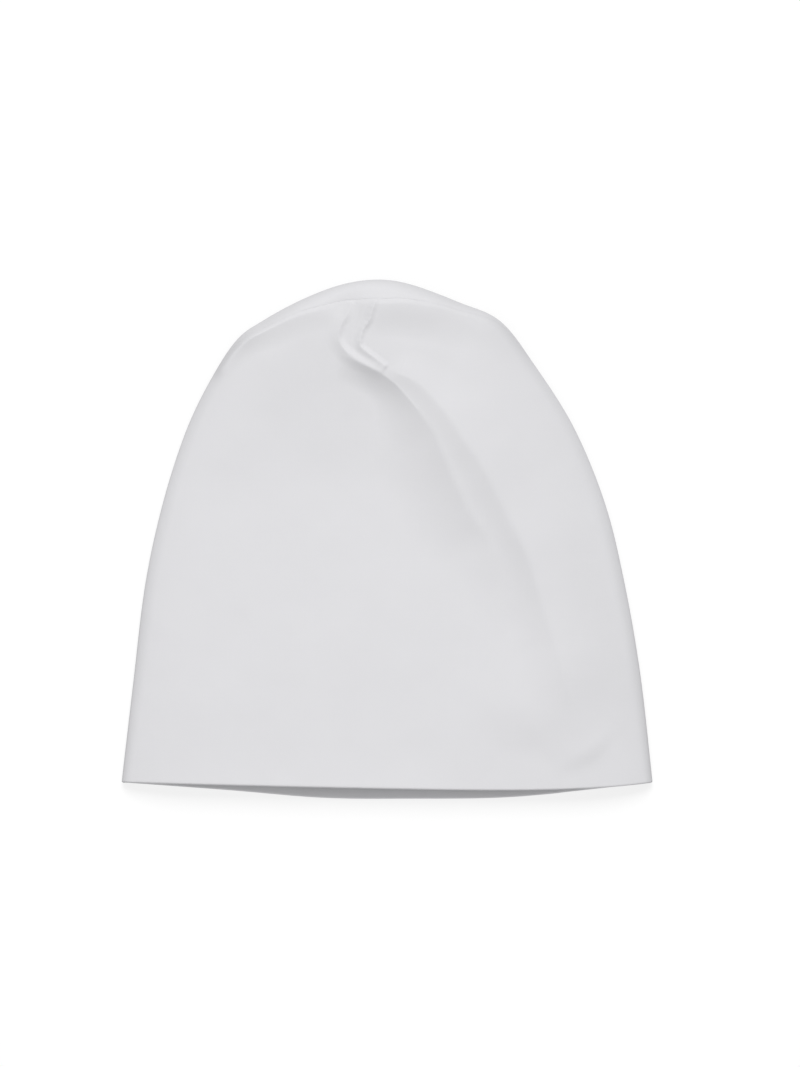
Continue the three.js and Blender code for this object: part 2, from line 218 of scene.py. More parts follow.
def roll_over(width, height, length):
    """A quarter round `width` wide and `height` high, followed for `length` on the cloth: how far in
    from the edge it has come, width times (1 - cos), and the share of the height it has climbed, sin."""
    quarter = quarter_length(width, height)
    angle = (np.pi / 2) * np.minimum(1, length / quarter)
    slack = (quarter - width) * (1 - smoothstep(length, quarter, SLACK_REACH))
    inward = np.where(length < quarter, width * (1 - np.cos(angle)), length - slack)
    return inward, np.sin(angle)


def seam_facing(along):
    """The direction that the roll faces where the seam crosses it, so that both panels end square to
    it: outwards by the roll's height times cos, and up by its width times sin."""
    height, roll, rim = smooth(EDGE, along)
    over = np.maximum(0, smooth(SEAM, along)[0])
    angle = (np.pi / 2) * np.clip(over / quarter_length(roll, rim - height), 0, 1)
    level = (rim - height) * np.cos(angle)
    inward = interpolate(along, outline_shares, inwards)
    return unit(np.stack([-inward[..., 0] * level, -inward[..., 1] * level, roll * np.sin(angle)], axis=-1))


crown_edge, crown_roll, crown_rim = smooth(EDGE, 0.5)
crown_quarter = quarter_length(crown_roll, crown_rim - crown_edge)
print("cloth in the roll at the crown:", round(float(crown_quarter), 1), "mm")

# %% [markdown]
# ## Finding the nearest place on a line
#
# Both the roll and the folds depend on how far a place of the cloth lies from a line, on which side, and
# beside which part of the line. The nearest point gives the distance. On the inside of a bend it jumps
# from one part of the line to another, though, which would crease the cloth. So the heights over the body
# are read at an average over the line, which never jumps.

# %% Nearest places
BLOCK = 8000  # places that are worked out at a time, which keeps the arrays small
SHARE_BLUR = 3  # steps of the line within which its points count alike
SHARE_SHARPNESS = 8  # more keeps the average closer to the nearest point


def nearest_on(line, places):
    """For each place, the nearest place on a line of points: its distance, the share of the way along,
    the side (1 to the left of someone who walks the line, -1 to the right) and the nearest place."""
    flat = places.reshape(-1, 2)
    blocks = np.array_split(flat, 1 + len(flat) // BLOCK)
    squares = (line**2).sum(1)
    near = np.concatenate([np.argmin(squares - 2 * block @ line.T, axis=1) for block in blocks])
    best = None
    for first in (np.clip(near - 1, 0, len(line) - 2), np.clip(near, 0, len(line) - 2)):
        step = line[first + 1] - line[first]
        reach = flat - line[first]
        share = np.clip((reach * step).sum(1) / (step**2).sum(1), 0, 1)
        foot = line[first] + step * share[:, None]
        distance = np.linalg.norm(flat - foot, axis=1)
        side = np.sign(step[:, 0] * reach[:, 1] - step[:, 1] * reach[:, 0])
        found = np.column_stack([distance, (first + share) / (len(line) - 1), side, foot])
        best = found if best is None else np.where((distance < best[:, 0])[:, None], found, best)
    best = best.reshape(places.shape[:-1] + (5,))
    return best[..., 0], best[..., 1], best[..., 2], best[..., 3:]


def smooth_share(line, places):
    """The share of the way along a line that each place is nearest to, as an average over the line with
    weights that fall with the sixteenth power of distance: unlike the nearest point it never jumps."""
    shares = np.linspace(0, 1, len(line))
    blur = (SHARE_BLUR * np.linalg.norm(line[1] - line[0])) ** 2
    flat = places.reshape(-1, 2)
    averages = []
    for block in np.array_split(flat, 1 + len(flat) // BLOCK):
        squares = (block**2).sum(1)[:, None] - 2 * block @ line.T + (line**2).sum(1) + blur
        weights = (squares.min(1)[:, None] / squares) ** SHARE_SHARPNESS
        averages.append(weights @ shares / weights.sum(1))
    return np.concatenate(averages).reshape(places.shape[:-1])


middle_distance = nearest_on(outline, np.zeros((1, 2)))[0][0]
print("from the middle to the outline:", round(float(middle_distance), 1), "mm")

# %% [markdown]
# ## The folds of the front
#
# A fold is a line on the cloth with a height above it, and the height dies away on either side. One
# formula makes a soft swell, a sharp crease, a dent and a seam: only its numbers change. Each fold says
# its path; its heights at even steps along it; and, for the left and for the right of someone who walks
# the path, first how far it spreads and then how round its top is. A top of 1 is a crease, 2 a soft
# swell, and more a flat top with a steep side. Sculpting by hand could make them too, but a table can be
# read, and changed by a millimetre.

# %% One formula for every fold
FOLD_STEPS = 120
FOLD_FADE = 0.05  # the share of its path over which a fold rises and dies away at its ends


def fold_height(fold, places):
    """What a fold adds: its crest's height at the nearest share of its path, times (1 - t^top)^2, where
    t is the distance from the path as a share of the spread on that side. It starts and ends level."""
    line = curve_through(fold["path"], FOLD_STEPS)
    distance, near, side, _ = nearest_on(line, places)
    along = smooth_share(line, places)

    def at_steps(values):
        """Values at even steps along the path, read beside each place."""
        return smooth(np.column_stack([np.linspace(0, 1, len(values)), values]), along)[0]

    crest = at_steps(fold["heights"]) * smoothstep(near, 0, FOLD_FADE) * smoothstep(1 - near, 0, FOLD_FADE)
    if "pucker" in fold:
        pitch, depth = fold["pucker"]
        crest = crest * (1 + depth * np.sin(2 * np.pi * along * line_length(line) / pitch))
    spread, top = (np.where(side > 0, at_steps(fold["left"][k]), at_steps(fold["right"][k])) for k in (0, 1))
    t = np.clip(distance / spread, 0, 1)
    return crest * (1 - t**top) ** 2


def describe(name, fold):
    """Prints a fold's length and how far its crest goes up, or down."""
    length = line_length(curve_through(fold["path"], FOLD_STEPS))
    print(f"{name}: {length:.0f} mm long, crest at {max(fold['heights'], key=abs)} mm")


print("a fold fades over", FOLD_FADE, "of its path at either end")

# %% [markdown]
# ### The bank below the dart
#
# The dart gathers the cloth at its foot, and the cloth right of there lies raised, as a wide bank. Its
# long side runs out softly towards the right. Its steep side looks to the hem and to the left, away from
# the light, so it is the most shaded part of the whole front, with a pocket at the dart's foot.

# %% The bank
BANK_BELOW_THE_DART = dict(
    path=[
        (-24.0, 80.4), (-18.0, 78.9), (-12.3, 76.2), (-6.6, 73.3), (-1.2, 70.4), (4.0, 66.2),
        (9.5, 60.0), (15.0, 53.0), (20.0, 46.0), (24.0, 37.0), (28.0, 28.0), (32.0, 19.0),
        (36.5, 10.5), (43.0, 1.0), (49.0, -12.0), (56.0, -30.0), (62.0, -50.0),
    ],
    heights=[0, 2.9, 4.7, 5.8, 6.8, 7.2, 6.6, 5.2, 3.8, 2.6, 1.4, 0.5, 0],
    left=([36, 38, 40, 44, 50, 54, 56, 56, 54, 52, 48], [2.2, 2.2]),
    right=(
        [14, 11, 14, 27, 31, 30, 27, 24, 22, 20, 19],
        [1.2, 1.1, 1.05, 1.05, 1.05, 1.1, 1.25, 1.4, 1.5],
    ),
)
describe("bank below the dart", BANK_BELOW_THE_DART)

# %% [markdown]
# ### The long crease
#
# On the bank a ridge runs from the dart's foot down to the right, nearly to the hem. It is sharp where
# it starts and grows wider and softer on its way, as a fold in jersey does once nothing pinches it.

# %% The long crease
LONG_CREASE = dict(
    path=[
        (-1.7, 75.5), (4.0, 71.5), (9.0, 69.5), (13.5, 66.8), (18.0, 62.5), (26.0, 53.5), (34.5, 41.0),
        (41.0, 32.0), (48.0, 19.0), (53.0, 9.0), (61.5, -8.5), (67.0, -27.0), (73.0, -46.0),
        (78.0, -64.0), (85.0, -80.0), (87.0, -88.0),
    ],
    heights=[0.4, 1.2, 1.8, 2.3, 2.6, 3.0, 3.5, 3.9, 4.1, 4.1, 3.6, 2.6, 1.0, 0],
    left=([10, 14, 18, 20, 24, 28, 30, 30, 30, 28, 24], [1.4, 1.5, 1.8, 2.0, 2.0]),
    right=([5, 8, 11, 12, 13, 14, 15, 17, 19, 19, 18], [1.25, 1.25, 1.2, 1.15, 1.1]),
)
describe("long crease", LONG_CREASE)

# %% [markdown]
# ### Soft shapes near the hem
#
# Lower down the cloth is nearly smooth. A short low ridge lies by the right end of the hem, so that the
# cloth beside it looks dented, with a broad swell above it. The hem itself stands up a little along its
# left and middle, where its fold is springy.

# %% The ridge, the swell and the lift of the hem
RIDGE_BY_THE_HEM = dict(
    path=[(96.0, -78.0), (92.0, -86.0), (84.0, -93.0), (70.0, -98.5)],
    heights=[0, 0.7, 0.7, 0],
    left=([7, 7], [1.5, 1.5]),
    right=([16, 16], [1.8, 1.8]),
)
SWELL_RIGHT_OF_THE_HEM = dict(
    path=[(30.0, -64.0), (50.0, -68.0), (70.0, -73.0), (90.0, -77.0), (106.0, -79.0)],
    heights=[0, 0.7, 1.5, 1.7, 1.2, 0.4, 0],
    left=([46, 46], [2, 2]),
    right=([24, 24], [2, 2]),
)
LIFT_OF_THE_HEM = dict(
    path=[(-106.0, -107.0), (-60.0, -108.5), (-10.0, -109.5), (48.0, -110.0)],
    heights=[0, 0.6, 0.9, 0.9, 0.9, 0.5, 0],
    left=([20, 20], [1.1, 1.1]),
    right=([10, 10], [1.5, 1.5]),
)
describe("ridge by the hem", RIDGE_BY_THE_HEM)
describe("swell right of the hem", SWELL_RIGHT_OF_THE_HEM)
describe("lift of the hem", LIFT_OF_THE_HEM)

# %% [markdown]
# ### The seam over the crown
#
# Four plies meet in this seam, and their allowances are turned to the front inside it. They push the
# front up into a welt just below the seam, and the thread draws both panels down a little into a fine
# groove. Both folds take their paths from the seam, as it lies once the cloth has rolled over.

# %% The welt and the groove
CROWN_SEAM_SHARES = (0.33, 0.655)  # from shoulder to shoulder, as shares of the outline


def below_crown_seam(steps, beyond):
    """Places so far below the seam over the crown, from shoulder to shoulder, as they lie after rolling."""
    along = np.linspace(*CROWN_SEAM_SHARES, steps + 1)
    height, roll, rim = smooth(EDGE, along)
    over = np.maximum(smooth(SEAM, along)[0], 0) + beyond
    return offset_place(along, roll_over(roll, rim - height, over)[0])


WELT_BELOW_THE_CROWN_SEAM = dict(
    path=below_crown_seam(60, 1.8),
    heights=[0, 2.4, 3.1, 2.5, 1.8, 1.1, -0.1, 2.4, 4.0, 3.9, 3.0, 2.0, 1.0, 0.3, 0],
    left=([6, 7, 12, 13, 8], [1.6, 1.6]),
    right=([6.5, 7.5, 9, 9, 14, 16, 15, 12, 9], [1.05, 1.05, 1.3, 1.3, 1.0]),
)
CROWN_SEAM_GROOVE = dict(
    path=below_crown_seam(90, 0.0),
    heights=[0, -0.06, -0.12, -0.14, -0.12, -0.06, 0],
    left=([1.3, 1.3], [0.9, 0.9]),
    right=([1.3, 1.3], [0.9, 0.9]),
)
describe("welt below the crown seam", WELT_BELOW_THE_CROWN_SEAM)
describe("groove of the crown seam", CROWN_SEAM_GROOVE)

# %% [markdown]
# ### The dart and its pleat
#
# The dart takes the crown in. Its allowance is pressed to the left under the cloth, so two short lines
# show: on the right the seam itself, puckered a little by its stitches, and on the left the edge of the
# allowance, which makes a small pleat. Both bend round to the right where the pleat lets go.

# %% The pleat's edge and the dart's seam
EDGE_OF_THE_PLEAT = dict(
    path=[
        (-15.0, 103.5), (-17.4, 96.6), (-19.5, 93.1), (-20.9, 88.6), (-20.4, 84.9), (-17.2, 80.4),
        (-12.3, 76.8), (-6.6, 73.9), (-0.6, 71.4),
    ],
    heights=[0.5, 1.0, 1.1, 1.1, 1.0, 0.8, 0.4],
    left=([3.0, 3.2, 4.0], [1.3, 1.3]),
    right=([6, 6, 5, 4], [1.2, 1.2]),
)
SEAM_OF_THE_DART = dict(
    path=[
        (-4.0, 105.0), (-6.7, 97.4), (-7.8, 94.0), (-10.4, 90.1), (-11.6, 86.1), (-11.2, 82.9),
        (-8.2, 80.0), (-3.2, 76.2), (0.6, 73.4),
    ],
    heights=[0.6, 0.85, 0.95, 0.95, 0.6],
    left=([2.4, 2.4], [1.3, 1.3]),
    right=([3.4, 3.4], [1.2, 1.2]),
    pucker=(2.6, 0.05),  # from one pucker to the next, and its share of the height
)
describe("edge of the pleat", EDGE_OF_THE_PLEAT)
describe("seam of the dart", SEAM_OF_THE_DART)

# %% Which folds a face has
BROAD_FOLDS = [
    BANK_BELOW_THE_DART,
    LONG_CREASE,
    RIDGE_BY_THE_HEM,
    SWELL_RIGHT_OF_THE_HEM,
    LIFT_OF_THE_HEM,
    WELT_BELOW_THE_CROWN_SEAM,
]
FRONT_FINE_FOLDS = [EDGE_OF_THE_PLEAT, SEAM_OF_THE_DART]


def folds_of(is_front, is_outer):
    """Broad folds bend both plies, and fine ones the outer ply only, the dart's on the front alone."""
    if not is_outer:
        return BROAD_FOLDS
    return BROAD_FOLDS + [CROWN_SEAM_GROOVE] + (FRONT_FINE_FOLDS if is_front else [])


print("folds of the front's outer face:", len(folds_of(True, True)))

# %% [markdown]
# ## Unevenness
#
# Cloth that was only smoothed by hand is never quite level. Two layers of faint random swells, one
# broad and one small, give it that. They could be noise in the material, but a real shape catches the
# light from every side, and it is in the mesh for whoever uses it.

# %% Soft swells
KNOTS = 64  # along each side of the square of random heights
UNEVENNESS = [(0.16, 23.0, 3), (0.07, 9.0, 5)]  # height, size and seed of each layer


def swells(places, size, seed):
    """Soft random swells between -1 and 1: random heights on a square grid of the given size, joined by
    level-ended cubics."""
    knots = np.random.default_rng(seed).uniform(-1, 1, (KNOTS, KNOTS))
    at = places / size + KNOTS // 2
    cell = np.floor(at).astype(int)
    s = at - cell
    s = s * s * (3 - 2 * s)
    i, j = cell[..., 0], cell[..., 1]
    low = knots[i, j] * (1 - s[..., 0]) + knots[i + 1, j] * s[..., 0]
    high = knots[i, j + 1] * (1 - s[..., 0]) + knots[i + 1, j + 1] * s[..., 0]
    return low * (1 - s[..., 1]) + high * s[..., 1]


print("swells:", [f"{height} mm high, {size} mm wide" for height, size, _ in UNEVENNESS])

# %% [markdown]
# ## One face of a panel
#
# Now a face of a panel can be worked out in one go, as whole arrays: each place on the flat cloth gives
# a point in space. It rolls up or under from the outline, rises to the full height of the body, and
# takes on the folds and the unevenness in proportion to how far it has climbed.

# %% From flat cloth to a face
coarse_outline = outline[::4]  # enough for a share that is an average


def rolled_surface(flat, is_front, is_outer):
    """Points of a face from places on the flat cloth, and the share of the way along the outline that
    each is nearest to. What is on top rolls up from the edge, the rest rolls under."""
    distance, along, side, foot = nearest_on(outline, flat)
    height, roll, rim = smooth(EDGE, along)
    on_top = np.ones_like(side, bool) if is_front else side > 0
    over_in, over_climb = roll_over(roll, rim - height, distance)
    under_in, under_climb = roll_over(UNDER_ROLL, height, distance)
    inward = np.where(on_top, over_in, under_in)
    rolled = foot + interpolate(along, outline_shares, inwards) * inward[..., None]
    place = np.where((distance < SLACK_REACH)[..., None], rolled, flat)
    loft = smooth(LOFT, place[..., 1])[0]
    rim = smooth(EDGE, smooth_share(coarse_outline, place))[2]
    top = rim + (loft - rim) * (1 - (1 - np.clip(inward / LOFT_REACH, 0, 1)) ** DOME)
    for fold in folds_of(is_front, is_outer):
        top = top + fold_height(fold, place)
    for swell_height, size, seed in UNEVENNESS:
        top = top + swell_height * swells(place, size, seed)
    z = np.where(on_top, height + (top - height) * over_climb, height * (1 - under_climb))
    return np.dstack([place, z]), along


middle_top = rolled_surface(np.zeros((1, 1, 2)), True, True)[0][0, 0, 2]
print("height in the middle:", round(float(middle_top), 1), "mm")

# %% [markdown]
# ## The flat cloth of a panel
#
# A cut panel has four borders: the hem, two sides and the crown. Its grid has rows from the hem up and
# columns from side to side, and a point inside is found from the ends of its row and of its column. A
# flat mesh could be cut out and subdivided instead, but a grid can have its lines close together where
# the cloth bends most, by the side seams and in the crown, and far apart on the smooth body.

# %% The grid between four borders
BORDER_STEPS = 400
SEAM_CLEARANCE = 0.015  # a face ends this far from the seam, and its rounded end fills the rest
SIDE_BAND = 12.0  # beside a side seam, where the roll needs close lines
SIDE_LINES = 16
SIDE_CROWDING = 1.15  # the power that brings the side lines closer together towards the seam
LEFT_SHOULDER = 0.37  # shares of the outline at which a panel's sides end and its crown begins
RIGHT_SHOULDER = 0.605

side_lines = SIDE_BAND * np.linspace(0, 1, SIDE_LINES + 1) ** SIDE_CROWDING


def graded(*stretches):
    """Shares from 0 to 1: (to, lines) gives so many even steps up to that share."""
    shares, start = [np.zeros(1)], 0.0
    for to, lines in stretches:
        shares.append(np.linspace(start, to, lines + 1)[1:])
        start = to
    return np.concatenate(shares)


def border(toward, along):
    """Places along a panel's edge in the seam. `toward` is 1 for the front and -1 for the back."""
    over = smooth(SEAM, along)[0]
    return offset_place(along, toward * over + SEAM_CLEARANCE)


def flat_places(hem_points, toward, rows, across):
    """The flat places of a panel. Each is the weighted mean of its places on the hem and the crown, plus
    that of its places on the two sides, less that of the four corners, as in a Coons patch."""
    shares = np.linspace(0, 1, BORDER_STEPS + 1)
    left, right = border(toward, LEFT_SHOULDER * rows), border(toward, 1 - (1 - RIGHT_SHOULDER) * rows)
    crown = border(toward, LEFT_SHOULDER + (RIGHT_SHOULDER - LEFT_SHOULDER) * shares)
    hem = curve_through([left[0], *hem_points, right[0]], BORDER_STEPS)
    near_left = side_lines / np.linalg.norm(right - left, axis=1)[:, None]
    inner = near_left[:, -1:]
    middle = inner + (1 - 2 * inner) * across
    u = np.hstack([near_left[:, :-1], middle, (1 - near_left[:, ::-1])[:, 1:]])
    hem, crown = (interpolate(u, shares, line) for line in (hem, crown))
    u, v = u[..., None], rows[:, None, None]
    ruled = hem * (1 - v) + crown * v + left[:, None] * (1 - u) + right[:, None] * u
    corners = [left[i] * (1 - u) + right[i] * u for i in (0, -1)]
    return ruled - corners[0] * (1 - v) - corners[1] * v


print("side lines at:", side_lines.round(1), "mm")

# %% [markdown]
# ## From a face to a closed wall of cloth
#
# A panel is two plies, lining and outside, that lie on each other. It is made as one wall of that
# thickness: down the inner face, round the fold of the hem, up the outer face and round the edge in the
# seam. A Solidify modifier could give the thickness, but it leaves square edges, and here the hem has to
# be round and the two ends have to close in the side seams. So the rows make a ring, and its two ends are
# zipped together. Each panel is then one closed surface.

# %% Rounded ends
WALL = 1.7  # two plies of jersey, one on the other
HEM_NOSE = 0.75  # the fold of the hem stands this far out between its two faces
FOLD_LENGTH = 2.4  # what the fold of the hem takes up of the cloth
HEM_STEPS = 9
SEAM_END_STEPS = 7
SEAM_END_DEPTH = SEAM_CLEARANCE * 0.7  # leaves the rest of the clearance open
SEAM_END_POWER = 1 / 3  # 1 is half an ellipse, and less fills out its corners
SIDE_END_STEPS = 4
SIDE_END_POWER = 0.33


def outward(points, along):
    """The direction out of a face at each grid point: the roll's own at the seams, and square to the
    two grid directions elsewhere."""
    normal = unit(np.cross(np.gradient(points, axis=1), np.gradient(points, axis=0)))
    for edge in ((-1, slice(None)), (slice(None), 0), (slice(None), -1)):
        normal[edge] = seam_facing(along[edge])
    return normal


def bead(start, end, direction, depth, steps, power):
    """Rows of a rounded end: the middle of `start` and `end`, plus half their difference times cos^power,
    plus the direction times depth times sin^power, for angles from 0 to pi."""
    middle, half = (start + end) / 2, (start - end) / 2
    rows = []
    for angle in np.linspace(0, np.pi, steps + 2)[1:-1]:
        cosine, sine = math.cos(angle), math.sin(angle)
        share = math.copysign(abs(cosine) ** power, cosine)
        rows.append(middle + half * share + direction * depth * sine**power)
    return rows


print("wall:", WALL, "mm")

# %% The ring of rows


def cloth_rows(outer, inner, kept_rows, flat):
    """The ring of rows that a panel's cloth makes, where they lie on the flat cloth, which runs on round
    the hem and back up the inner face, and beside which row of the outer face each row is. The inner
    face has only the kept rows of the outer."""
    hem_way = unit((outer[0] - outer[2]) * [1, 1, 0])  # level, and out of the hem
    nose = bead(inner[0], outer[0], hem_way, HEM_NOSE, HEM_STEPS, 1.0)
    crown_way = unit(outer[-1] - outer[-2])
    end = bead(outer[-1], inner[-1], crown_way, SEAM_END_DEPTH, SEAM_END_STEPS, SEAM_END_POWER)
    ring = np.stack([*inner[::-1], *nose, *outer, *end])
    x, y = flat[kept_rows][..., 0], flat[kept_rows][..., 1]
    lining = np.stack([x, 2 * y[0] - y - FOLD_LENGTH], axis=-1)
    round_hem = [flat[0] - [0, FOLD_LENGTH * share] for share in np.linspace(1, 0, len(nose) + 2)[1:-1]]
    cloth = np.stack([*lining[::-1], *round_hem, *flat, *[flat[-1]] * len(end)])
    last = len(outer) - 1
    beside = np.concatenate([kept_rows[::-1], [0] * len(nose), np.arange(last + 1), [last] * len(end)])
    return ring, cloth, beside.astype(int)


def side_end(ring, outer, inner, kept_rows, beside, column, inside):
    """The rounded end of the wall in a side seam: the line in the middle of the wall on which its two
    faces are zipped, and the columns that draw in to it, by cos^power and sin^power of their angles."""
    other = interpolate(np.arange(len(outer)), kept_rows, inner[:, column])
    line = (outer[:, column] + other) / 2
    way = unit(outer[:, column] - outer[:, inside])
    half = ring[:, column] - line[beside]
    columns = [
        line[beside]
        + half * math.cos(angle) ** SIDE_END_POWER
        + way[beside] * SEAM_END_DEPTH * math.sin(angle) ** SIDE_END_POWER
        for angle in np.linspace(0, np.pi / 2, SIDE_END_STEPS + 1)[1:-1]
    ]
    return line + way * SEAM_END_DEPTH, columns


print("rounded ends stand", round(SEAM_END_DEPTH, 4), "mm out")

# %% Faces


def ring_faces(count, columns):
    """Quads between neighbouring rows and columns of a ring of rows. The last row meets the first."""
    i, j = np.meshgrid(np.arange(count), np.arange(columns - 1), indexing="ij")
    below, above = i * columns + j, (i + 1) % count * columns + j
    return np.stack([below, below + 1, above + 1, above], axis=-1).reshape(-1, 4).tolist()


def zip_faces(beside, column, columns, first, at_start):
    """Faces from one end column of the ring to its zip line, whose points are numbered from `first` on,
    one for each row of the outer face. A row that skips some of those takes them all into its face."""
    faces = []
    count = len(beside)
    for a in range(count):
        b = (a + 1) % count
        step = -1 if beside[b] < beside[a] else 1
        between = [first + k for k in range(beside[a], beside[b] + step, step)]
        if beside[a] == beside[b]:
            between = between[:1]
        face = [a * columns + column, *between, b * columns + column]
        faces.append(face[::-1] if at_start else face)
    return faces


print("a ring of 3 rows and 2 columns has", len(ring_faces(3, 2)), "faces")

# %% From points and faces to an object
SHARP = 32  # faces that meet at more degrees than this are not smoothed into each other


def cloth_object(name, points, uv, faces):
    """An object of closed cloth, with the flat cloth as its map, in metres. It is smooth, except where
    its faces meet sharply."""
    mesh = bpy.data.meshes.new(name)
    mesh.from_pydata(points * MM, [], faces)
    layer = mesh.uv_layers.new(name="cloth")
    corner = np.empty(len(mesh.loops), int)
    mesh.loops.foreach_get("vertex_index", corner)
    layer.data.foreach_set("uv", (uv * MM)[corner].ravel())
    mesh.polygons.foreach_set("use_smooth", np.ones(len(mesh.polygons), bool))
    mesh.update()
    mesh.set_sharp_from_angle(angle=math.radians(SHARP))
    piece = bpy.data.objects.new(name, mesh)
    bpy.context.collection.objects.link(piece)
    mesh.calc_loop_triangles()
    print(name, len(mesh.loop_triangles), "triangles", "valid" if not mesh.validate() else "mended")
    return piece


def closed_cloth(name, outer, inner, kept_rows, flat):
    """One closed piece from the grids of the outer and the inner face. The rows form a ring, and at each
    side some more columns draw in, as a rounded edge does, to the line that zips the two faces."""
    ring, cloth, beside = cloth_rows(outer, inner, kept_rows, flat)
    start_line, start = side_end(ring, outer, inner, kept_rows, beside, 0, 2)
    end_line, end = side_end(ring, outer, inner, kept_rows, beside, -1, -3)
    grid = np.stack([*start[::-1], *ring.transpose(1, 0, 2), *end], axis=1)
    places = np.concatenate([cloth[:, :1]] * len(start) + [cloth] + [cloth[:, -1:]] * len(end), axis=1)
    count, columns = grid.shape[:2]
    faces = ring_faces(count, columns)
    first = count * columns
    faces += zip_faces(beside, 0, columns, first, at_start=True)
    faces += zip_faces(beside, columns - 1, columns, first + len(outer), at_start=False)
    points = np.vstack([grid.reshape(-1, 3), start_line, end_line])
    uv = np.vstack([places.reshape(-1, 2), flat[:, 0], flat[:, -1]])
    return cloth_object(name, points, uv, faces)


print("meshes are smooth below", SHARP, "degrees")

# %% [markdown]
# ## The front panel
#
# The front is all on top. Its rows are closest in the crown and its columns in the middle, where the
# dart is and the creases start. Each face is worked out for itself: the lining is the plain surface, a
# wall's thickness in, and the outside has the fine folds as well. The lining only has to follow the
# broad folds, so it keeps fewer rows.

# %% The front panel
INNER_ROWS = 64
FRONT_HEM = [(-85.0, -105.0), (-20.0, -106.5), (48.0, -107.6), (90.0, -106.6)]


def panel(name, hem_points, toward, rows, across):
    """One panel as a closed cloth: `toward` is 1 for the front and -1 for the back, whose columns run
    the other way because its outer face looks down."""
    is_front = toward > 0
    flat = flat_places(hem_points, toward, rows, across)
    if not is_front:
        flat = flat[:, ::-1]
    outer, _ = rolled_surface(flat, is_front, is_outer=True)
    plain, along = rolled_surface(flat, is_front, is_outer=False)
    even_rows = np.interp(np.linspace(0, 1, INNER_ROWS), rows, np.arange(len(rows)))
    kept_rows = np.unique(np.round(even_rows).astype(int))
    inner = (plain - outward(plain, along) * WALL)[kept_rows]
    return closed_cloth(name, outer, inner, kept_rows, flat)


front_cloth = panel(
    "front_panel_cloth",
    FRONT_HEM,
    toward=1,
    rows=graded((0.02, 5), (0.74, 84), (0.98, 134), (1, 18)),
    across=graded((0.27, 42), (0.64, 132), (1, 46)),
)

# %% [markdown]
# ## The back panel
#
# The back lies under the front, and its hem shows a little below the front's. Over the crown it comes up
# and rolls onto the front as far as the seam. It is made by the same function: what is inside the
# outline lies underneath, and what is outside of it comes over the top. Most of its rows are in that
# roll, which bends all the way round from the underside.

# %% The back panel
BACK_HEM = [(-70.0, -107.6), (-28.0, -111.0), (10.0, -111.4), (50.0, -110.9), (85.0, -107.9)]

back_cloth = panel(
    "back_panel_cloth",
    BACK_HEM,
    toward=-1,
    rows=graded((0.02, 5), (0.88, 70), (1, 120)),
    across=graded((0.2, 30), (0.8, 150), (1, 30)),
)

# %% [markdown]
# ## Nodes as arithmetic
#
# A material is a net of nodes. Written out one by one, its formula is hard to see. So a small class
# stands for a socket, and arithmetic on it adds the Math nodes: `knit * 0.8 + fuzz` reads as it works.

# %% Shader helpers


class Sock:
    """A socket of a material's nodes, with arithmetic that adds Math nodes."""

    def __init__(self, tree, socket):
        self.tree, self.socket = tree, socket

    def output(self, number):
        """Another output of the same node."""
        return Sock(self.tree, self.socket.node.outputs[number])

    def math(self, operation, *others):
        """A Math node with this socket as its first input."""
        return make_node(self.tree, "ShaderNodeMath", {"operation": operation}, [self, *others])

    def __add__(self, other):
        return self.math("ADD", other)

    __radd__ = __add__

    def __mul__(self, other):
        return self.math("MULTIPLY", other)

    __rmul__ = __mul__

    def __sub__(self, other):
        return self.math("SUBTRACT", other)

    def __rsub__(self, other):
        return make_node(self.tree, "ShaderNodeMath", {"operation": "SUBTRACT"}, [other, self])


def make_node(tree, kind, settings, inputs, output=0):
    """Any node: its type, its settings, which are set first, and the values or links of its sockets, by
    name or in order. It gives back one of its outputs, if it has any."""
    node = tree.nodes.new(kind)
    for key, value in settings.items():
        setattr(node, key, value)
    for key, value in inputs.items() if isinstance(inputs, dict) else enumerate(inputs):
        if isinstance(value, Sock):
            tree.links.new(value.socket, node.inputs[key])
        else:
            node.inputs[key].default_value = value
    return Sock(tree, node.outputs[output]) if node.outputs else None


print("shader helpers ready")

# %% [markdown]
# ## Jersey
#
# Plain white jersey is matt, and its face is made of fine upright ribs of stitches, the wales. Each
# stitch is a V of two slanting legs. At arm's length the stitches don't show one by one. They take the
# shine off the cloth, so a faint bump is enough, and each stitch as geometry would cost millions of
# faces. The colour changes faintly too: painted shade darkens the gaps between the stitches a little,
# and a painted highlight lightens their tops. The pattern reads the panel's own map, which is the flat
# cloth, so the wales run up from the hem and bend with the folds. A noise of fibres roughens it, and a
# broad one stands for the knit's thicker and thinner spots.

# %% The stitches
WALE = 0.72  # from one upright rib of stitches to the next
COURSE = 0.52  # from one row of stitches to the next
LEG_SLANT = 1.3  # how many rows a leg would fall, from the middle outwards, over a whole rib
ROW_DEPTH = 0.45  # the share of a stitch's height that falls off towards the next row


def stitches(across, along):
    """The height of the knit, from 0 to 1: the root of a ridge over each leg, times a lower ridge over
    each row. The slant of the legs bends a row into Vs that point to the crown."""
    wale = (across * (1 / (WALE * MM))).math("FRACT") - 0.5
    leg = wale.math("ABSOLUTE")
    course = (along * (1 / (COURSE * MM)) + leg * LEG_SLANT).math("FRACT") - 0.5
    legs = 1 - (leg - 0.25).math("ABSOLUTE") * 4
    rows = 1 - course.math("ABSOLUTE") * 2
    return legs.math("SQRT") * ((1 - ROW_DEPTH) + rows * ROW_DEPTH)


print("stitches:", round(10 / WALE, 1), "wales and", round(10 / COURSE, 1), "courses to the centimetre")

